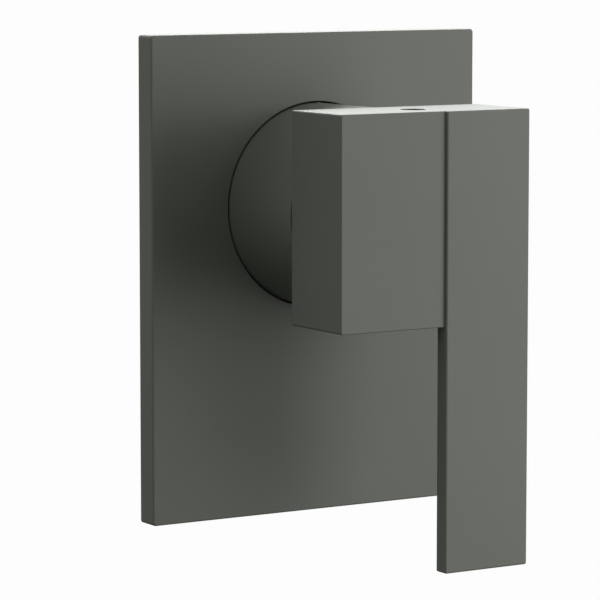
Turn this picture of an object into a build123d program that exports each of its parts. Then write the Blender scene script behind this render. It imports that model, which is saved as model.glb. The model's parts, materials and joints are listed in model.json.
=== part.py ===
from build123d import *
import math
import os

# Concealed stop valve: brass body in the wall, quarter-turn ceramic headwork,
# sleeve and rectangular plate on the wall, square handle with a flat lever.
# Stations run along the valve axis from the finished wall (0): positive towards
# the room (-Y), negative into the wall. X is to the right and Z is up.

# Fits between pieces
running_gap = 0.05  # between pieces that turn on each other
seat_gap = 0.02  # between a ring seal and the groove that holds it
slip_gap = 0.2  # between pieces that are dropped into each other
edge_round = 0.5  # broken edges of the coated pieces

# Wall plate
plate_width = 110.0
plate_upper_height = 50.0  # valve axis to the top edge
plate_lower_height = 90.0  # valve axis to the bottom edge
plate_depth = 7.3
plate_face = 3.0  # front wall
plate_rim = 3.0  # wall of the rim that stands on the wall
plate_corner = 1.0
plate_collar = 5.0  # wall of the collar round the hole
collar_step = 0.5  # the collar stops this far short of the wall
seal_width = 6.0  # foam strip inside the rim

# Sleeve and its carrier
sleeve_diameter = 59.0
sleeve_wall = 1.6
sleeve_front = 40.3
sleeve_back = -3.5
sleeve_margin = 0.6  # open ring between sleeve and plate
sleeve_lead = 0.8  # chamfer that leads the sleeve over its ring
carrier_gap = 0.3  # carrier to sleeve
carrier_flange = 2.5
carrier_front = 8.0
carrier_overhang = 0.5  # the flange stays this far inside the sleeve's outside
spanner_slot = 4.0  # width of the two slots that a pin spanner turns
spanner_depth = 2.0
ring_section = 2.0  # section of the two large rubber rings

# Valve body
neck_diameter = 32.0
neck_front = 12.0  # the headwork's flange seats here
barrel_diameter = 42.0
barrel_round = 2.0
forging_round = 2.0  # where the ports grow out of the barrel
thread_bore = 12.06  # radius inside the headwork's thread
thread_length = 11.5
chamber_radius = 14.5
chamber_sill = 3.5  # seat to the chamber's floor
chamber_roof = 3.0  # end of the thread to the chamber's roof
seat_distance = 33.0  # flange seat to the disc seat
seat_hole = 6.5  # radius
seat_web = 3.0
rear_chamber_radius = 10.0
rear_chamber_depth = 8.0
back_wall = 4.0
port_bore = 9.315  # radius inside a half-inch pipe thread
port_depth = 15.0
port_face = 38.0  # valve axis to the face of each port
port_flats = 28.0  # across the octagon at each port
port_octagon = 11.0  # length of the octagon
port_chamfer = 0.8  # broken edges of the octagon
port_neck = 12.5  # radius of the round stretch between octagon and barrel
passage_radius = 5.0
passage_offset = 4.2  # passage to the port's axis
lug_spacing = 52.0
lug_width = 10.0
lug_thickness = 4.0
lug_hole = 2.75  # radius, for a 5 mm screw

# Headwork
housing_wall = 1.5
housing_slack = 0.36  # thread bore to the barrel of the housing
housing_foot = 0.5  # end of the housing to the seat
thread_slack = 0.06
hex_flats = 27.0
hex_height = 7.0
boss_radius = 9.0
boss_height = 6.0
stop_recess_radius = 7.5
stop_recess_depth = 3.5
window_width = 13.0
window_sill = 1.0  # fixed disc's face to the window
flange_ring_section = 1.76
flange_ring_recess = 1.8
seal_thickness = 2.5
disc_thickness = 3.2
disc_slack = 0.4  # turning disc to the housing
disc_port_inner = 2.0
disc_port_outer = 6.4
disc_port_angle = 80.0
key_width = 3.0  # two keys hold the fixed disc
driver_thickness = 3.5
driver_width = 9.0
dog_width = 6.0
dog_height = 1.2
washer_thickness = 1.0

# Spindle
spindle_radius = 5.0
spindle_end = 36.0
spline_radius = 4.0
spline_depth = 0.45
spline_teeth = 20
spline_length = 10.0
spindle_flats = 8.0
spindle_ring_section = 1.28
spindle_ring_width = 1.8  # groove
spindle_ring_pitch = 6.0
turn_angle = 90.0  # closed to open
stop_ring_thickness = 2.0
stop_tab_width = 3.4
stop_margin = 2.5  # degrees that the notch leaves on each side of the tab
circlip_thickness = 0.8
circlip_depth = 0.6  # groove
circlip_width = 1.8
circlip_opening = 60.0  # degrees

# Adapter and its screw
adapter_radius = 8.0
adapter_overlap = 9.0  # length on the spline
adapter_web = 4.0
adapter_bore = 4.5  # radius, for the screw's head
adapter_flat = 1.0  # depth of the flat under the handle's screw
screw_radius = 2.0
screw_length = 14.0
screw_slack = 0.1
screw_head_radius = 3.5
screw_head_height = 2.6
screw_key = 2.5  # across the hexagon socket
screw_key_depth = 1.6

# Handle
handle_width = 61.85
handle_height = 60.0
handle_depth = 25.7
handle_gap = 3.2  # sleeve to the handle's back
handle_corner = 0.6
block_round = 0.3  # broken edges of the block
handle_face = 5.0  # front wall of the block
pocket_radius = 25.0
hub_radius = 13.0
hub_setback = 2.8  # handle's back to the hub
adapter_clearance = 2.2  # adapter to the pocket's floor
lever_width = 27.85
lever_thickness = 4.75
lever_proud = 0.95  # lever's face before the block's face
lever_drop = 99.3  # valve axis to the lever's end
grub_radius = 3.0
grub_slack = 0.05
grub_length = 10.0
grub_setback = 14.1  # handle's back to the grub screw
grub_key = 3.0  # across the hexagon socket
grub_key_depth = 3.5
grub_access = 3.6  # radius of the hole in the handle's top
grub_boss = 13.0  # width of the boss from hub to top wall

# Stations and radii that follow
plate_height = plate_upper_height + plate_lower_height
plate_middle = (plate_upper_height - plate_lower_height) / 2
sleeve_radius = sleeve_diameter / 2
sleeve_inside = sleeve_radius - sleeve_wall
plate_hole = sleeve_radius + sleeve_margin
plate_collar_radius = plate_hole + plate_collar
plate_pocket_depth = plate_depth - plate_face
pocket_width = plate_width - 2 * plate_rim
pocket_height = plate_height - 2 * plate_rim
carrier_back = sleeve_back - carrier_flange
carrier_radius = sleeve_inside - carrier_gap
neck_radius = neck_diameter / 2
barrel_radius = barrel_diameter / 2
barrel_front = carrier_back
seat = neck_front - seat_distance
rear_roof = seat - seat_web
rear_floor = rear_roof - rear_chamber_depth
barrel_back = rear_floor - back_wall
thread_back = neck_front - thread_length
chamber_front = thread_back - chamber_roof
chamber_back = seat + chamber_sill
fixed_back = seat + seal_thickness
fixed_front = fixed_back + disc_thickness
turning_back = fixed_front + running_gap
turning_front = turning_back + disc_thickness
driver_front = turning_front + driver_thickness
washer_back = driver_front + running_gap
shoulder = washer_back + washer_thickness
housing_back = seat + housing_foot
housing_radius = thread_bore - housing_slack
housing_inside = housing_radius - housing_wall
hex_front = neck_front + hex_height
boss_front = hex_front + boss_height
stop_floor = boss_front - stop_recess_depth
stop_back = stop_floor + running_gap
stop_front = stop_back + stop_ring_thickness
guide_radius = spindle_radius + running_gap
spline_back = spindle_end - spline_length
circlip_back = stop_front + running_gap
handle_back = sleeve_front + handle_gap
handle_front = handle_back + handle_depth
pocket_floor = handle_front - handle_face
lever_front = handle_front + lever_proud
lever_back = lever_front - lever_thickness
adapter_back = spindle_end - adapter_overlap
adapter_front = pocket_floor - adapter_clearance
web_front = spindle_end + adapter_web
grub_station = handle_back + grub_setback
grub_foot = adapter_radius - adapter_flat

# Half section: local x is the radius and local y the station
half = Plane(origin=(0, 0, 0), x_dir=(1, 0, 0), z_dir=(0, 0, -1))


def at(station):
    return Plane.XZ.offset(station)


def disc_ports():
    # two opposite openings, left and right of the axis
    with BuildSketch() as ports:
        with BuildLine():
            outer = CenterArc((0, 0), disc_port_outer, -disc_port_angle / 2, disc_port_angle)
            inner = CenterArc((0, 0), disc_port_inner, -disc_port_angle / 2, disc_port_angle)
            Line(outer @ 0, inner @ 0)
            Line(outer @ 1, inner @ 1)
        make_face()
        mirror(about=Plane.YZ)
    return ports.sketch


def spline_outline(gap):
    root = spline_radius - spline_depth + gap
    tooth = math.pi * root / spline_teeth + 2 * gap
    with BuildSketch() as outline:
        Circle(root)
        with PolarLocations(root, spline_teeth):
            Rectangle(2 * spline_depth, tooth)
    return outline.sketch


# Wall plate: a shallow tray with a collar round the sleeve's hole
with BuildPart() as wall_plate:
    with BuildSketch(at(0)):
        with Locations((0, plate_middle)):
            RectangleRounded(plate_width, plate_height, plate_corner)
    extrude(amount=plate_depth)
    fillet(wall_plate.faces().sort_by(Axis.Y)[0].edges(), edge_round)
    with BuildSketch(at(0)):
        with Locations((0, plate_middle)):
            Rectangle(pocket_width, pocket_height)
        Circle(plate_collar_radius, mode=Mode.SUBTRACT)
    extrude(amount=plate_pocket_depth, mode=Mode.SUBTRACT)
    with BuildSketch(at(0)):
        Circle(plate_collar_radius)
    extrude(amount=collar_step, mode=Mode.SUBTRACT)
    with BuildSketch(at(0)):
        Circle(plate_hole)
    extrude(amount=plate_depth, mode=Mode.SUBTRACT)
    with BuildSketch(half):
        with Locations((sleeve_radius, plate_depth / 2)):
            Rectangle(2 * (ring_section + 2 * seat_gap), ring_section + slip_gap)
    revolve(axis=Axis.Y, mode=Mode.SUBTRACT)
wall_plate.part.label = "wall_plate"

# Foam strip that seals the plate's rim to the wall
with BuildPart() as plate_seal:
    with BuildSketch(at(0)):
        with Locations((0, plate_middle)):
            Rectangle(pocket_width - 2 * slip_gap, pocket_height - 2 * slip_gap)
            Rectangle(
                pocket_width - 2 * seal_width,
                pocket_height - 2 * seal_width,
                mode=Mode.SUBTRACT,
            )
    extrude(amount=plate_pocket_depth)
plate_seal.part.label = "plate_seal"

# Rubber ring that grips the plate on the sleeve
with BuildPart() as plate_o_ring:
    with BuildSketch(half):
        with Locations((sleeve_radius + seat_gap + ring_section / 2, plate_depth / 2)):
            Circle(ring_section / 2)
    revolve(axis=Axis.Y)
plate_o_ring.part.label = "plate_o_ring"

# Sleeve: a plain tube, open towards the handle
with BuildPart() as sleeve:
    with BuildSketch(at(sleeve_back)):
        Circle(sleeve_radius)
        Circle(sleeve_inside, mode=Mode.SUBTRACT)
    extrude(amount=sleeve_front - sleeve_back)
    fillet(sleeve.faces().sort_by(Axis.Y)[0].edges(), edge_round)
    lead_edge = sleeve.faces().sort_by(Axis.Y)[-1].edges().sort_by(SortBy.LENGTH)[0]
    chamfer(lead_edge, sleeve_lead)
sleeve.part.label = "sleeve"

# Carrier: a flanged ring screwed on the body's neck, which holds the sleeve
carrier_groove = (carrier_front + sleeve_back) / 2
with BuildPart() as sleeve_carrier:
    with BuildSketch(half):
        with BuildLine():
            Polyline(
                (neck_radius + thread_slack, carrier_back),
                (sleeve_radius - carrier_overhang, carrier_back),
                (sleeve_radius - carrier_overhang, sleeve_back),
                (carrier_radius, sleeve_back),
                (carrier_radius, carrier_front),
                (neck_radius + thread_slack, carrier_front),
                close=True,
            )
        make_face()
        with Locations((sleeve_inside, carrier_groove)):
            Rectangle(
                2 * (ring_section + 2 * seat_gap),
                ring_section + slip_gap,
                mode=Mode.SUBTRACT,
            )
    revolve(axis=Axis.Y)
    chamfer(sleeve_carrier.faces().sort_by(Axis.Y)[0].edges(), edge_round)
    with BuildSketch(at(carrier_front)):
        Rectangle(spanner_slot, 2 * carrier_radius)
    extrude(amount=-spanner_depth, mode=Mode.SUBTRACT)
sleeve_carrier.part.label = "sleeve_carrier"

# Rubber ring between carrier and sleeve
with BuildPart() as carrier_o_ring:
    with BuildSketch(half):
        with Locations((sleeve_inside - seat_gap - ring_section / 2, carrier_groove)):
            Circle(ring_section / 2)
    revolve(axis=Axis.Y)
carrier_o_ring.part.label = "carrier_o_ring"

# Valve body: forging with a barrel, a neck, two ports and two lugs
flange_ring_seat = thread_bore + flange_ring_section + slip_gap
port_plane = Plane(origin=(0, -seat, 0), x_dir=(1, 0, 0), z_dir=(0, 0, 1))
with BuildPart() as valve_body:
    with BuildSketch(at(barrel_back)):
        Circle(barrel_radius)
    extrude(amount=barrel_front - barrel_back)
    with BuildSketch(port_plane):
        Circle(port_neck)
    extrude(amount=port_face, both=True)
    fillet(valve_body.edges().filter_by(GeomType.BSPLINE), forging_round)
    fillet(valve_body.faces().sort_by(Axis.Y)[0].edges(), barrel_round)
    fillet(valve_body.faces().sort_by(Axis.Y)[-1].edges(), barrel_round)
    for side in (1, -1):
        with BuildSketch(port_plane.offset(side * port_face)):
            RegularPolygon(port_flats / 2, 8, major_radius=False, rotation=22.5)
        extrude(amount=-side * port_octagon)
    octagon_ends = valve_body.faces().filter_by(Axis.Z)
    chamfer([edge for end in octagon_ends for edge in end.outer_wire().edges()], port_chamfer)
    with BuildSketch(at(barrel_back)):
        SlotCenterToCenter(lug_spacing, lug_width)
    extrude(amount=lug_thickness)
    with BuildSketch(at(barrel_front)):
        Circle(neck_radius)
    extrude(amount=neck_front - barrel_front)
    chamfer(valve_body.faces().sort_by(Axis.Y)[0].edges(), edge_round)
    # the headwork's chamber, the seat and the chamber behind it
    with BuildSketch(half):
        with BuildLine():
            Polyline(
                (0, neck_front),
                (flange_ring_seat, neck_front),
                (flange_ring_seat, neck_front - flange_ring_recess),
                (thread_bore, neck_front - flange_ring_recess),
                (thread_bore, chamber_front),
                (chamber_radius, chamber_front),
                (chamber_radius, chamber_back),
                (thread_bore, chamber_back),
                (thread_bore, seat),
                (seat_hole, seat),
                (seat_hole, rear_roof),
                (rear_chamber_radius, rear_roof),
                (rear_chamber_radius, rear_floor),
                (0, rear_floor),
                close=True,
            )
        make_face()
    revolve(axis=Axis.Y, mode=Mode.SUBTRACT)
    # inlet below leads behind the seat, outlet above leaves the chamber
    for side in (1, -1):
        with BuildSketch(port_plane.offset(side * port_face)):
            Circle(port_bore)
        extrude(amount=-side * port_depth, mode=Mode.SUBTRACT)
        with BuildSketch(port_plane.offset(side * (port_face - port_depth))):
            with Locations((0, -side * passage_offset)):
                Circle(passage_radius)
        passage_reach = thread_bore if side > 0 else rear_chamber_radius / 2
        extrude(amount=-side * (port_face - port_depth - passage_reach), mode=Mode.SUBTRACT)
    with BuildSketch(at(barrel_back)):
        with GridLocations(lug_spacing, 0, 2, 1):
            Circle(lug_hole)
    extrude(amount=lug_thickness, mode=Mode.SUBTRACT)
valve_body.part.label = "valve_body"

# Headwork housing: barrel with windows, hexagon flange, boss with a stop notch
with BuildPart() as headwork_housing:
    with BuildSketch(half):
        with BuildLine():
            Polyline(
                (guide_radius, shoulder),
                (housing_inside, shoulder),
                (housing_inside, housing_back),
                (housing_radius, housing_back),
                (housing_radius, thread_back),
                (thread_bore - thread_slack, thread_back),
                (thread_bore - thread_slack, neck_front),
                (boss_radius, neck_front),
                (boss_radius, boss_front),
                (stop_recess_radius, boss_front),
                (stop_recess_radius, stop_floor),
                (guide_radius, stop_floor),
                close=True,
            )
        make_face()
    revolve(axis=Axis.Y)
    with BuildSketch(at(neck_front)):
        RegularPolygon(hex_flats / 2, 6, major_radius=False)
        Circle(guide_radius, mode=Mode.SUBTRACT)
    extrude(amount=hex_height)
    # water leaves through the two windows, above and below the axis
    window_back = fixed_front + window_sill
    with BuildSketch(Plane.XY):
        with Locations((0, -(window_back + shoulder) / 2)):
            Rectangle(window_width, shoulder - window_back)
    extrude(amount=housing_radius + housing_wall, both=True, mode=Mode.SUBTRACT)
    with BuildSketch(at(housing_back)):
        Rectangle(2 * housing_radius + housing_wall, key_width + slip_gap)
    extrude(amount=fixed_front - housing_back, mode=Mode.SUBTRACT)
    # the stop ring's tab turns in this notch, from straight down to the right
    tab_angle = math.degrees(math.asin(stop_tab_width / 2 / stop_recess_radius)) + stop_margin
    notch_span = turn_angle + 2 * tab_angle
    with BuildSketch(at(stop_floor)):
        with BuildLine():
            rim = CenterArc((0, 0), 2 * boss_radius, -90 - tab_angle, notch_span)
            Line((0, 0), rim @ 0)
            Line(rim @ 1, (0, 0))
        make_face()
    extrude(amount=stop_recess_depth, mode=Mode.SUBTRACT)
headwork_housing.part.label = "headwork_housing"

# Rubber ring under the housing's flange
with BuildPart() as housing_o_ring:
    flange_ring_radius = thread_bore + slip_gap / 2 + flange_ring_section / 2
    with BuildSketch(half):
        with Locations((flange_ring_radius, neck_front - flange_ring_recess / 2)):
            Circle(flange_ring_section / 2)
    revolve(axis=Axis.Y)
housing_o_ring.part.label = "housing_o_ring"

# Rubber ring between the seat and the fixed disc
disc_radius = housing_inside - slip_gap
with BuildPart() as seat_seal:
    with BuildSketch(at(seat)):
        Circle(disc_radius)
        Circle(seat_hole, mode=Mode.SUBTRACT)
    extrude(amount=seal_thickness)
seat_seal.part.label = "seat_seal"

# Fixed ceramic disc, its openings above and below the axis
with BuildPart() as fixed_disc:
    with BuildSketch(at(fixed_back)):
        Circle(disc_radius)
        Rectangle(2 * housing_radius, key_width)
        add(disc_ports(), rotation=90, mode=Mode.SUBTRACT)
    extrude(amount=disc_thickness)
fixed_disc.part.label = "fixed_disc"

# Turning ceramic disc, closed with its openings left and right of the axis
with BuildPart() as turning_disc:
    with BuildSketch(at(turning_back)):
        Circle(housing_inside - disc_slack)
        add(disc_ports(), mode=Mode.SUBTRACT)
    extrude(amount=disc_thickness)
    with BuildSketch(at(turning_front)):
        Rectangle(dog_width, 2 * housing_inside)
    extrude(amount=-dog_height, mode=Mode.SUBTRACT)
turning_disc.part.label = "turning_disc"

# Plastic washer that takes the spindle's thrust
driver_radius = housing_inside - 2 * disc_slack
with BuildPart() as thrust_washer:
    with BuildSketch(at(washer_back)):
        Circle(driver_radius)
        Circle(guide_radius, mode=Mode.SUBTRACT)
    extrude(amount=washer_thickness)
thrust_washer.part.label = "thrust_washer"

# Spindle: driver for the turning disc, shaft with two grooves, flats and splines
ring_middle = (shoulder + hex_front) / 2
ring_stations = (ring_middle - spindle_ring_pitch / 2, ring_middle + spindle_ring_pitch / 2)
ring_groove = spindle_radius + running_gap - spindle_ring_section - 2 * seat_gap
circlip_root = spindle_flats / 2 - circlip_depth
with BuildPart() as spindle:
    with BuildSketch(at(turning_front)):
        Circle(driver_radius)
        Rectangle(driver_width, 2 * driver_radius, mode=Mode.INTERSECT)
    extrude(amount=driver_thickness)
    with BuildSketch(at(turning_front)):
        Circle(driver_radius)
        Rectangle(dog_width - running_gap, 2 * driver_radius, mode=Mode.INTERSECT)
    extrude(amount=-(dog_height - running_gap))
    with BuildSketch(at(driver_front)):
        Circle(spindle_radius)
    extrude(amount=spline_back - driver_front)
    with BuildSketch(half):
        with Locations(*[(spindle_radius, station) for station in ring_stations]):
            Rectangle(2 * (spindle_radius - ring_groove), spindle_ring_width)
    revolve(axis=Axis.Y, mode=Mode.SUBTRACT)
    with BuildSketch(at(stop_floor)):
        Circle(2 * spindle_radius)
        Rectangle(spindle_flats, 4 * spindle_radius, mode=Mode.SUBTRACT)
    extrude(amount=spline_back - stop_floor, mode=Mode.SUBTRACT)
    with BuildSketch(at(circlip_back)):
        Circle(2 * spindle_radius)
        Circle(circlip_root, mode=Mode.SUBTRACT)
    extrude(amount=circlip_thickness + running_gap, mode=Mode.SUBTRACT)
    with BuildSketch(at(spline_back)):
        add(spline_outline(0))
    extrude(amount=spline_length)
    with BuildSketch(at(spindle_end)):
        Circle(screw_radius + screw_slack / 2)
    extrude(amount=-screw_length, mode=Mode.SUBTRACT)
spindle.part.label = "spindle"

# The spindle's two rubber rings
with BuildPart() as spindle_o_rings:
    ring_radius = guide_radius - seat_gap - spindle_ring_section / 2
    with BuildSketch(half):
        with Locations(*[(ring_radius, station) for station in ring_stations]):
            Circle(spindle_ring_section / 2)
    revolve(axis=Axis.Y)
spindle_o_rings.part.label = "spindle_o_rings"

# Stop ring on the spindle's flats, its tab in the housing's notch
with BuildPart() as stop_ring:
    with BuildSketch(at(stop_back)):
        Circle(stop_recess_radius - slip_gap)
        with Locations((0, -boss_radius / 2)):
            Rectangle(stop_tab_width, boss_radius)
        with BuildSketch(mode=Mode.PRIVATE) as keyed_bore:
            Circle(guide_radius)
            Rectangle(spindle_flats + 2 * running_gap, 4 * spindle_radius, mode=Mode.INTERSECT)
        add(keyed_bore.sketch, mode=Mode.SUBTRACT)
    extrude(amount=stop_ring_thickness)
stop_ring.part.label = "stop_ring"

# Spring clip over the stop ring
with BuildPart() as circlip:
    clip_inside = circlip_root + seat_gap
    with BuildSketch(at(circlip_back)):
        Circle(clip_inside + circlip_width)
        Circle(clip_inside, mode=Mode.SUBTRACT)
        with BuildLine():
            mouth = CenterArc((0, 0), 3 * clip_inside, 90 - circlip_opening / 2, circlip_opening)
            Line((0, 0), mouth @ 0)
            Line(mouth @ 1, (0, 0))
        make_face(mode=Mode.SUBTRACT)
    extrude(amount=circlip_thickness)
circlip.part.label = "circlip"

# Adapter: splined socket on the spindle, plain shank in the handle's hub
with BuildPart() as spindle_adapter:
    with BuildSketch(at(adapter_back)):
        Circle(adapter_radius)
    extrude(amount=adapter_front - adapter_back)
    chamfer(spindle_adapter.edges(), edge_round)
    with BuildSketch(at(adapter_back)):
        add(spline_outline(running_gap))
    extrude(amount=adapter_overlap, mode=Mode.SUBTRACT)
    with BuildSketch(at(spindle_end)):
        Circle(screw_radius + screw_slack)
    extrude(amount=adapter_web, mode=Mode.SUBTRACT)
    with BuildSketch(at(web_front)):
        Circle(adapter_bore)
    extrude(amount=adapter_front - web_front, mode=Mode.SUBTRACT)
    with BuildSketch(at(adapter_front)):
        with Locations((0, adapter_radius)):
            Rectangle(2 * adapter_radius, 2 * adapter_flat)
    extrude(amount=-2 * (adapter_front - grub_station), mode=Mode.SUBTRACT)
spindle_adapter.part.label = "spindle_adapter"

# Screw that holds the adapter on the spindle
with BuildPart() as adapter_screw:
    with BuildSketch(at(web_front)):
        Circle(screw_head_radius)
    extrude(amount=screw_head_height)
    fillet(adapter_screw.faces().sort_by(Axis.Y)[0].edges(), edge_round)
    with BuildSketch(at(web_front)):
        Circle(screw_radius)
    extrude(amount=-screw_length)
    chamfer(adapter_screw.faces().sort_by(Axis.Y)[-1].edges(), edge_round)
    with BuildSketch(at(web_front + screw_head_height)):
        RegularPolygon(screw_key / 2, 6, major_radius=False)
    extrude(amount=-screw_key_depth, mode=Mode.SUBTRACT)
adapter_screw.part.label = "adapter_screw"

# Lever: a flat bar down the right side of the handle
lever_height = handle_height / 2 + lever_drop
with BuildPart() as lever:
    with BuildSketch(at(lever_back)):
        with Locations(((handle_width - lever_width) / 2, handle_height / 2 - lever_height / 2)):
            RectangleRounded(lever_width, lever_height, handle_corner)
    extrude(amount=lever_thickness)
    fillet(lever.faces().sort_by(Axis.Y)[0].edges(), edge_round)
    fillet(lever.faces().sort_by(Axis.Y)[-1].edges(), edge_round)

# Handle: a square block with its lever, a round pocket and a hub for the adapter
grub_axis = Plane(origin=(0, -grub_station, handle_height / 2), x_dir=(1, 0, 0), z_dir=(0, 0, 1))
with BuildPart() as handle:
    with BuildSketch(at(handle_back)):
        RectangleRounded(handle_width, handle_height, handle_corner)
    extrude(amount=handle_depth)
    fillet(handle.faces().sort_by(Axis.Y)[0].edges(), block_round)
    fillet(handle.faces().sort_by(Axis.Y)[-1].edges(), block_round)
    add(lever.part)
    with BuildSketch(at(handle_back)):
        Circle(pocket_radius)
    extrude(amount=pocket_floor - handle_back, mode=Mode.SUBTRACT)
    with BuildSketch(at(handle_back + hub_setback)):
        Circle(hub_radius)
    extrude(amount=pocket_floor - handle_back - hub_setback)
    with BuildSketch(at(grub_station - grub_boss / 2)):
        with Locations((0, pocket_radius / 2)):
            Rectangle(grub_boss, pocket_radius)
    extrude(amount=pocket_floor - grub_station + grub_boss / 2)
    with BuildSketch(at(handle_back)):
        Circle(adapter_radius + running_gap)
    extrude(amount=pocket_floor - handle_back, mode=Mode.SUBTRACT)
    with BuildSketch(grub_axis):
        Circle(grub_radius + grub_slack)
    extrude(amount=-handle_height / 2, mode=Mode.SUBTRACT)
    with BuildSketch(grub_axis):
        Circle(grub_access)
    extrude(amount=-(handle_height / 2 - grub_foot - grub_length), mode=Mode.SUBTRACT)
handle.part.label = "handle"

# Grub screw deep in the handle's top hole, its foot on the adapter's flat
with BuildPart() as handle_screw:
    with BuildSketch(grub_axis.offset(grub_foot - handle_height / 2)):
        Circle(grub_radius)
    extrude(amount=grub_length)
    chamfer(handle_screw.edges().filter_by(GeomType.CIRCLE), edge_round)
    with BuildSketch(grub_axis.offset(grub_foot + grub_length - handle_height / 2)):
        RegularPolygon(grub_key / 2, 6, major_radius=False)
    extrude(amount=-grub_key_depth, mode=Mode.SUBTRACT)
handle_screw.part.label = "handle_screw"

pieces = [
    wall_plate,
    plate_seal,
    plate_o_ring,
    sleeve,
    sleeve_carrier,
    carrier_o_ring,
    valve_body,
    headwork_housing,
    housing_o_ring,
    seat_seal,
    fixed_disc,
    turning_disc,
    thrust_washer,
    spindle,
    spindle_o_rings,
    stop_ring,
    circlip,
    spindle_adapter,
    adapter_screw,
    handle,
    handle_screw,
]
os.makedirs("parts", exist_ok=True)
for piece in pieces:
    export_step(piece.part, f"parts/{piece.part.label}.step")
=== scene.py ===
import json
from math import pi, radians

import bmesh
import bpy
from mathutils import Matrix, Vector


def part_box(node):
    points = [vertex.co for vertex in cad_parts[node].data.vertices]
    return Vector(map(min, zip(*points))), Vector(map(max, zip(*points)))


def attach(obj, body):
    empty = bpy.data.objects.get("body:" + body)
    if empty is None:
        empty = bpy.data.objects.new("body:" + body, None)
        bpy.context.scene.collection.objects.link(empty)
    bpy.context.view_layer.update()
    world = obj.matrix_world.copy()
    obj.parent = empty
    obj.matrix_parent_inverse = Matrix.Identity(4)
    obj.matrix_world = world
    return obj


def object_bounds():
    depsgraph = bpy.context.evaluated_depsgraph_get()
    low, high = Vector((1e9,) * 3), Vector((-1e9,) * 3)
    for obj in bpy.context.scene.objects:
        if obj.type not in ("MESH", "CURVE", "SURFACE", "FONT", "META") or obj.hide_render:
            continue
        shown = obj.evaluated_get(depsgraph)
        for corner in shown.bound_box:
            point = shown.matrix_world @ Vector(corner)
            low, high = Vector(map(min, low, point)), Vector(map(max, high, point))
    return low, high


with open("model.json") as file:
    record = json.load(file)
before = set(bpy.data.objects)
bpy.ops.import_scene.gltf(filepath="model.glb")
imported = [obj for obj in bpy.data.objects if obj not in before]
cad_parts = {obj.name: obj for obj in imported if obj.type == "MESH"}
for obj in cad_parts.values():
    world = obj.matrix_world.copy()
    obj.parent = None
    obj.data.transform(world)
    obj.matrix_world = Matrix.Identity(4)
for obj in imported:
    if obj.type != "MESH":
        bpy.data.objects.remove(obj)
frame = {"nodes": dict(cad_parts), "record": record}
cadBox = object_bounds()
nodes = frame["nodes"]
print("frame loaded:", len(nodes), "nodes")

mm = 0.001


# shared node helpers

def feed(tree, value, socket):  # links an output, sets a plain value
    if hasattr(value, "is_output"):
        tree.links.new(value, socket)
    else:
        socket.default_value = value


def mathNode(tree, operation, first, second=0.0):
    node = tree.nodes.new("ShaderNodeMath")
    node.operation = operation
    feed(tree, first, node.inputs[0])
    feed(tree, second, node.inputs[1])
    return node.outputs["Value"]


def noiseNode(tree, vector, scale, detail):
    node = tree.nodes.new("ShaderNodeTexNoise")
    feed(tree, vector, node.inputs["Vector"])
    feed(tree, scale, node.inputs["Scale"])
    feed(tree, detail, node.inputs["Detail"])
    return node.outputs["Fac"]


def rangeNode(tree, value, low, high, start=0.0, end=1.0):
    node = tree.nodes.new("ShaderNodeMapRange")
    feed(tree, value, node.inputs["Value"])
    feed(tree, start, node.inputs["From Min"])
    feed(tree, end, node.inputs["From Max"])
    feed(tree, low, node.inputs["To Min"])
    feed(tree, high, node.inputs["To Max"])
    return node.outputs["Result"]


toneSpan = (0.3, 0.7)  # noise seldom leaves this range


def toneRamp(tree, value, dark, light):
    node = tree.nodes.new("ShaderNodeValToRGB")
    for element, place, colour in zip(node.color_ramp.elements, toneSpan, (dark, light)):
        element.position = place
        element.color = (*colour, 1)
    feed(tree, value, node.inputs["Fac"])
    return node.outputs["Color"]


mixSockets = {"RGBA": (6, 7, 2), "FLOAT": (2, 3, 0)}  # places of first, second and result


def blendNode(tree, kind, factor, first, second):
    node = tree.nodes.new("ShaderNodeMix")
    node.data_type = kind
    firstPlace, secondPlace, result = mixSockets[kind]
    feed(tree, factor, node.inputs[0])
    feed(tree, first, node.inputs[firstPlace])
    feed(tree, second, node.inputs[secondPlace])
    return node.outputs[result]


def radiusNode(tree, across, upright):  # distance from an axis
    squares = [mathNode(tree, "MULTIPLY", side, side) for side in (across, upright)]
    return mathNode(tree, "SQRT", mathNode(tree, "ADD", *squares))


def ringNoise(tree, along, scale, detail):  # noise that changes along one value only
    join = tree.nodes.new("ShaderNodeCombineXYZ")
    feed(tree, along, join.inputs["X"])
    return noiseNode(tree, join.outputs["Vector"], scale, detail)


def objectPlace(tree):
    return tree.nodes.new("ShaderNodeTexCoord").outputs["Object"]


def splitPlace(tree):
    split = tree.nodes.new("ShaderNodeSeparateXYZ")
    feed(tree, objectPlace(tree), split.inputs["Vector"])
    return split.outputs


def newGroup(name, inputs, outputs):
    group = bpy.data.node_groups.new(name, "ShaderNodeTree")
    for side, labels in (("INPUT", inputs), ("OUTPUT", outputs)):
        for label in labels:
            group.interface.new_socket(label, in_out=side, socket_type="NodeSocketFloat")
    given = group.nodes.new("NodeGroupInput").outputs
    out = group.nodes.new("NodeGroupOutput").inputs
    return group, given, out


# grain of coated, moulded and forged skins: a fine peel, a slow cloud and fine specks
grainShape = {"peelDetail": 2.0, "cloudDetail": 4.0, "fineDetail": 1.0, "finePerPeel": 4.0}


def buildSkinGrain():
    group, given, out = newGroup("skinGrain", ["Peel", "Cloud"], ["Peel", "Cloud", "Fine"])
    where = objectPlace(group)
    fine = mathNode(group, "MULTIPLY", given["Peel"], grainShape["finePerPeel"])
    feed(group, noiseNode(group, where, given["Peel"], grainShape["peelDetail"]), out["Peel"])
    feed(group, noiseNode(group, where, given["Cloud"], grainShape["cloudDetail"]), out["Cloud"])
    feed(group, noiseNode(group, where, fine, grainShape["fineDetail"]), out["Fine"])
    return group


# turning marks round the valve axis (Y), for lathe-cut pieces
latheMarks = {"markDetail": 1.0, "smearScale": 120.0, "smearDetail": 3.0}


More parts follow.
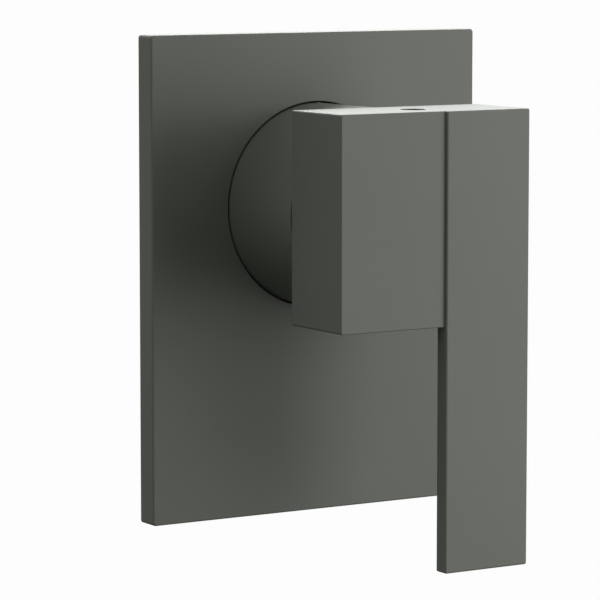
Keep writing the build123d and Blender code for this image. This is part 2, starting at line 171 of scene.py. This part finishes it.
def buildTurnedMarks():
    group, given, out = newGroup("turnedMarks", ["Pitch"], ["Marks", "Smear"])
    place = splitPlace(group)
    along = mathNode(group, "ADD", radiusNode(group, place["X"], place["Z"]), place["Y"])
    smear = noiseNode(group, objectPlace(group), latheMarks["smearScale"], latheMarks["smearDetail"])
    feed(group, ringNoise(group, along, given["Pitch"], latheMarks["markDetail"]), out["Marks"])
    feed(group, smear, out["Smear"])
    return group


# inside of a round hole along Z, with its axis at a given Y, between two heights,
# and the rings that a cutter leaves round that axis
cutterRings = {"scale": 2500.0, "detail": 2.0}


def buildDrilled():
    group, given, out = newGroup("drilled", ["Axis", "Radius", "From", "To"], ["Inside", "Rings"])
    place = splitPlace(group)
    radius = radiusNode(group, place["X"], mathNode(group, "SUBTRACT", place["Y"], given["Axis"]))
    height = mathNode(group, "ABSOLUTE", place["Z"])
    near = mathNode(group, "LESS_THAN", radius, given["Radius"])
    above = mathNode(group, "GREATER_THAN", height, given["From"])
    below = mathNode(group, "LESS_THAN", height, given["To"])
    between = mathNode(group, "MULTIPLY", above, below)
    along = mathNode(group, "ADD", radius, height)
    feed(group, mathNode(group, "MULTIPLY", near, between), out["Inside"])
    feed(group, ringNoise(group, along, cutterRings["scale"], cutterRings["detail"]), out["Rings"])
    return group


skinGrain = buildSkinGrain()
turnedMarks = buildTurnedMarks()
drilled = buildDrilled()


def startMaterial(name):
    material = bpy.data.materials.new(name)
    material.use_nodes = True
    tree = material.node_tree
    return material, tree, tree.nodes["Principled BSDF"]


def useGroup(tree, group, values):
    node = tree.nodes.new("ShaderNodeGroup")
    node.node_tree = group
    for label, value in values.items():
        node.inputs[label].default_value = value
    return node.outputs


def useGrain(tree, finish):
    return useGroup(tree, skinGrain, {"Peel": finish["peel"], "Cloud": finish["cloud"]})


def bumpFrom(tree, shader, height, finish):
    node = tree.nodes.new("ShaderNodeBump")
    node.inputs["Strength"].default_value = finish["bump"]
    node.inputs["Distance"].default_value = finish["depth"]
    feed(tree, height, node.inputs["Height"])
    feed(tree, node.outputs["Normal"], shader.inputs["Normal"])


# grey-green powder coat of plate, sleeve and handle
coat = {
    "dark": (0.116, 0.127, 0.103),
    "light": (0.126, 0.137, 0.112),
    "roughness": (0.46, 0.54),
    "ior": 1.45,
    "peel": 1400.0,
    "cloud": 18.0,
    "bump": 0.25,
    "depth": 0.02 * mm,
    # screw hole in the handle's top: its inside is painted near-black, painted shade in the recess
    "hole": {"Axis": -57.6 * mm, "Radius": 3.7 * mm, "From": 15 * mm, "To": 29.95 * mm},
    "holeShadeDark": (0.010, 0.011, 0.009),
    "holeShadeLight": (0.017, 0.018, 0.015),
}


def makeCoat():
    material, tree, shader = startMaterial("matteCoat")
    grain = useGrain(tree, coat)
    hole = useGroup(tree, drilled, coat["hole"])
    sprayed = toneRamp(tree, grain["Cloud"], coat["dark"], coat["light"])
    # painted shade: the hole's inside gets a near-black tone in place of the coat colour
    paintedShade = toneRamp(tree, grain["Fine"], coat["holeShadeDark"], coat["holeShadeLight"])
    feed(tree, blendNode(tree, "RGBA", hole["Inside"], sprayed, paintedShade), shader.inputs["Base Color"])
    feed(tree, rangeNode(tree, grain["Fine"], *coat["roughness"]), shader.inputs["Roughness"])
    shader.inputs["IOR"].default_value = coat["ior"]
    bumpFrom(tree, shader, grain["Peel"], coat)
    return material


# forged body: sand-blasted brass skin, bright where it was machined
forging = {
    "dark": (0.44, 0.30, 0.115),
    "light": (0.62, 0.45, 0.20),
    "roughness": (0.38, 0.55),
    "peel": 700.0,
    "cloud": 55.0,
    "bump": 0.5,
    "depth": 0.12 * mm,
    "cutDark": (0.62, 0.46, 0.21),
    "cutLight": (0.74, 0.57, 0.29),
    "cutRoughness": (0.28, 0.4),
    "portFace": {"Axis": 21 * mm, "Radius": 16 * mm, "From": 37.15 * mm, "To": 40 * mm},
    "portBore": {"Axis": 21 * mm, "Radius": 9.6 * mm, "From": 22.5 * mm, "To": 40 * mm},
}


def makeForging():
    material, tree, shader = startMaterial("forgedBrass")
    grain = useGrain(tree, forging)
    face = useGroup(tree, drilled, forging["portFace"])
    bore = useGroup(tree, drilled, forging["portBore"])
    cut = mathNode(tree, "MAXIMUM", face["Inside"], bore["Inside"])
    skin = toneRamp(tree, grain["Cloud"], forging["dark"], forging["light"])
    bright = toneRamp(tree, face["Rings"], forging["cutDark"], forging["cutLight"])
    rough = rangeNode(tree, grain["Cloud"], *forging["roughness"])
    smooth = rangeNode(tree, face["Rings"], *forging["cutRoughness"])
    feed(tree, blendNode(tree, "RGBA", cut, skin, bright), shader.inputs["Base Color"])
    feed(tree, blendNode(tree, "FLOAT", cut, rough, smooth), shader.inputs["Roughness"])
    shader.inputs["Metallic"].default_value = 1.0
    uncut = mathNode(tree, "SUBTRACT", 1.0, cut)
    bumpFrom(tree, shader, mathNode(tree, "MULTIPLY", grain["Peel"], uncut), forging)
    return material


# lathe-cut metal: brass for the headwork, steel for screws and clip
turning = {
    "brass": {"dark": (0.58, 0.42, 0.17), "light": (0.72, 0.55, 0.27), "roughness": (0.24, 0.38)},
    "steel": {"dark": (0.36, 0.36, 0.37), "light": (0.5, 0.5, 0.51), "roughness": (0.24, 0.4)},
    "pitch": 5000.0,
    "bump": 0.3,
    "depth": 0.015 * mm,
}


def makeTurned(metal):
    tone = turning[metal]
    material, tree, shader = startMaterial("turned" + metal.capitalize())
    marks = useGroup(tree, turnedMarks, {"Pitch": turning["pitch"]})
    feed(tree, toneRamp(tree, marks["Smear"], tone["dark"], tone["light"]), shader.inputs["Base Color"])
    feed(tree, rangeNode(tree, marks["Marks"], *tone["roughness"]), shader.inputs["Roughness"])
    shader.inputs["Metallic"].default_value = 1.0
    bumpFrom(tree, shader, marks["Marks"], turning)
    return material


# rubber rings, foam strip, ceramic discs and the plastic washer
mouldings = {
    "rubber": {
        "dark": (0.012, 0.012, 0.012),
        "light": (0.022, 0.022, 0.021),
        "roughness": (0.55, 0.75),
        "peel": 1500.0,
        "cloud": 60.0,
        "bump": 0.6,
        "depth": 0.02 * mm,
    },
    "foam": {
        "dark": (0.02, 0.02, 0.021),
        "light": (0.05, 0.05, 0.051),
        "roughness": (0.85, 0.95),
        "peel": 1100.0,
        "cloud": 300.0,
        "bump": 0.6,
        "depth": 0.35 * mm,
    },
    "ceramic": {
        "dark": (0.76, 0.75, 0.70),
        "light": (0.84, 0.83, 0.79),
        "roughness": (0.16, 0.26),
        "peel": 3000.0,
        "cloud": 40.0,
        "bump": 0.6,
        "depth": 0.002 * mm,
    },
    "plastic": {
        "dark": (0.66, 0.66, 0.63),
        "light": (0.74, 0.74, 0.71),
        "roughness": (0.4, 0.52),
        "peel": 1600.0,
        "cloud": 50.0,
        "bump": 0.6,
        "depth": 0.01 * mm,
    },
}


def makeMoulding(stuff):
    finish = mouldings[stuff]
    material, tree, shader = startMaterial(stuff + "Skin")
    grain = useGrain(tree, finish)
    feed(tree, toneRamp(tree, grain["Cloud"], finish["dark"], finish["light"]), shader.inputs["Base Color"])
    feed(tree, rangeNode(tree, grain["Peel"], *finish["roughness"]), shader.inputs["Roughness"])
    bumpFrom(tree, shader, grain["Peel"], finish)
    return material


finishes = {"coated": makeCoat(), "forged": makeForging()}
for metal in ("brass", "steel"):
    finishes[metal] = makeTurned(metal)
for stuff in mouldings:
    finishes[stuff] = makeMoulding(stuff)
for subpart in frame["record"]["subparts"]:
    finish = "forged" if subpart["node"] == "valve_body" else subpart["material_slot"]
    nodes[subpart["node"]].material_slots[0].material = finishes[finish]
print("finishes set:", ", ".join(finishes))


# pipe threads inside the two ports, one helical ridge each
portThread = {
    "bore": 9.315 * mm,
    "sink": 0.05 * mm,  # the ridge's foot stands this deep in the wall
    "height": 0.42 * mm,
    "pitch": 1.814 * mm,
    "footShare": 0.45,  # half the ridge's width, as a share of the pitch
    "crestShare": 0.06,
    "length": 13.0 * mm,
    "stepsPerTurn": 48,
}


def makePortThread(name, mouth, inward):
    pitch = portThread["pitch"]
    root = portThread["bore"] + portThread["sink"]
    crest = portThread["bore"] - portThread["height"]
    footHalf = portThread["footShare"] * pitch
    crestHalf = portThread["crestShare"] * pitch
    middle = mouth.z + inward * pitch
    profile = [(root, -footHalf), (crest, -crestHalf), (crest, crestHalf), (root, footHalf)]
    mesh = bmesh.new()
    section = mesh.faces.new([mesh.verts.new((radius, mouth.y, middle + rise)) for radius, rise in profile])
    turns = portThread["length"] / pitch - 1
    steps = int(turns * portThread["stepsPerTurn"])
    bmesh.ops.spin(
        mesh,
        geom=[section, *section.edges, *section.verts],
        cent=(0, mouth.y, 0),
        axis=(0, 0, inward),
        dvec=(0, 0, inward * turns * pitch / steps),
        angle=2 * pi * turns,
        steps=steps,
        use_duplicate=False,
    )
    bmesh.ops.recalc_face_normals(mesh, faces=mesh.faces)
    # spin leaves the faces in any order, so they are put in the same one each run
    mesh.verts.index_update()
    mesh.faces.sort(key=lambda face: sum(corner.index ** 2 for corner in face.verts))
    data = bpy.data.meshes.new(name)
    mesh.to_mesh(data)
    mesh.free()
    data.materials.append(finishes["brass"])
    piece = bpy.data.objects.new(name, data)
    bpy.context.scene.collection.objects.link(piece)
    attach(piece, "wall_set")


bodyLow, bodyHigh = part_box("valve_body")
for mount in frame["record"]["mounts"]:
    if mount["kind"] == "threaded_hole":
        outward = mount["axis"][2]
        mouth = Vector((0, mount["pos_m"][1], bodyHigh.z if outward > 0 else bodyLow.z))
        makePortThread(mount["name"] + "_thread", mouth, -outward)
print("port threads cut")


# floor, world and lamps
stage = {
    "floorDrop": 0.25,
    "floorSize": 60.0,
    "floorColour": 0.8,
    "floorRoughness": 0.9,
    "floorBounce": 0.03,  # what the floor sends back up to the object
    "floorGloss": 0.46,  # share of the white that gloss picks up from the floor
    "nearGloss": 0.1,  # what is left of that share below the object, painted shadow in what gloss sees there
    "nearShade": 0.3,  # share of plain shading left on the floor below the object
    "nearReach": (0.4, 1.1),  # metres from the object over which both fade
    "white": 0.98,  # the backdrop as the camera and gloss see it
    "ambient": 0.24,  # the even light that it gives
}


def lightPath(tree, glossShare):
    path = tree.nodes.new("ShaderNodeLightPath").outputs
    direct = mathNode(tree, "MAXIMUM", path["Is Camera Ray"], path["Is Transmission Ray"])
    return direct, mathNode(tree, "MULTIPLY", path["Is Glossy Ray"], glossShare)


def mixShaders(tree, factor, first, second, output):
    mix = tree.nodes.new("ShaderNodeMixShader")
    feed(tree, factor, mix.inputs[0])
    feed(tree, first.outputs[0], mix.inputs[1])
    feed(tree, second.outputs[0], mix.inputs[2])
    feed(tree, mix.outputs[0], output.inputs["Surface"])


def makeFloorFinish():
    material, tree, shader = startMaterial("paleFloor")
    shader.inputs["Roughness"].default_value = stage["floorRoughness"]
    glow = tree.nodes.new("ShaderNodeEmission")
    glow.inputs["Strength"].default_value = stage["white"]
    away = tree.nodes.new("ShaderNodeVectorMath")
    away.operation = "LENGTH"
    feed(tree, objectPlace(tree), away.inputs[0])
    direct, gloss = lightPath(tree, stage["floorGloss"])
    tone = rangeNode(tree, direct, stage["floorBounce"], stage["floorColour"])
    feed(tree, tone, shader.inputs["Base Color"])
    shares = []
    # below the object the gloss share fades, so reflections of the floor there carry painted shadow
    for ray, near in ((direct, 1 - stage["nearShade"]), (gloss, stage["nearGloss"])):
        fade = rangeNode(tree, away.outputs["Value"], near, 1.0, *stage["nearReach"])
        shares.append(mathNode(tree, "MULTIPLY", ray, fade))
    seen = mathNode(tree, "MAXIMUM", *shares)
    mixShaders(tree, seen, shader, glow, tree.nodes["Material Output"])
    return material


def makeFloor():
    mesh = bmesh.new()
    bmesh.ops.create_grid(mesh, x_segments=1, y_segments=1, size=stage["floorSize"] / 2)
    bmesh.ops.translate(mesh, verts=mesh.verts, vec=(0, 0, cadBox[0][2] - stage["floorDrop"]))
    data = bpy.data.meshes.new("floor")
    mesh.to_mesh(data)
    mesh.free()
    data.materials.append(makeFloorFinish())
    floor = bpy.data.objects.new("floor", data)
    bpy.context.scene.collection.objects.link(floor)


def makeWorld():
    world = bpy.data.worlds.new("studio")
    bpy.context.scene.world = world
    world.use_nodes = True
    tree = world.node_tree
    dim = tree.nodes["Background"]
    bright = tree.nodes.new("ShaderNodeBackground")
    for sky, strength in ((dim, stage["ambient"]), (bright, stage["white"])):
        sky.inputs["Color"].default_value = (1, 1, 1, 1)
        sky.inputs["Strength"].default_value = strength
    seen = mathNode(tree, "MAXIMUM", *lightPath(tree, 1.0))
    mixShaders(tree, seen, dim, bright, tree.nodes["World Output"])


lamps = {
    "key": {"place": (0.305, -0.390, -0.070), "size": 0.5, "power": 1.15},  # near softbox, right front
    "upper": {"place": (0.320, -0.320, 0.211), "size": 0.5, "power": 0.715},  # a second one above it
    "fill": {"place": (-0.995, -0.575, 0.964), "size": 1.0, "power": 3.4},  # upper left
    "rim": {"place": (0.575, 0.995, 0.964), "size": 1.0, "power": 21.3},  # behind, over the plate
}


def makeLamp(name, lamp):
    light = bpy.data.lights.new(name, "AREA")
    light.shape = "DISK"
    light.size = lamp["size"]
    light.energy = lamp["power"]
    body = bpy.data.objects.new(name, light)
    place = Vector(lamp["place"])
    body.location = place
    body.rotation_euler = (-place).to_track_quat("-Z", "Y").to_euler()  # aimed at the origin
    body.visible_camera = False
    bpy.context.scene.collection.objects.link(body)


makeFloor()
makeWorld()
for lampName, lamp in lamps.items():
    makeLamp(lampName, lamp)
print("stage lit")


# camera where the photograph was taken from
shot = {
    "place": (-0.5177, -0.8340, 0.0823),
    "yaw": 31.768,  # degrees to the right
    "pitch": 6.457,  # degrees down
    "lens": 201.57,
    "sensor": 36.0,
    "reach": 200.0,  # sees the floor to its far edge
}


def makeCamera():
    data = bpy.data.cameras.new("camera")
    data.sensor_fit = "HORIZONTAL"
    data.sensor_width = shot["sensor"]
    data.lens = shot["lens"]
    data.clip_end = shot["reach"]
    camera = bpy.data.objects.new("camera", data)
    camera.location = shot["place"]
    camera.rotation_euler = (radians(90 - shot["pitch"]), 0, radians(-shot["yaw"]))
    bpy.context.scene.collection.objects.link(camera)
    bpy.context.scene.camera = camera


makeCamera()
bpy.context.scene.view_settings.view_transform = "Standard"
print("camera set")
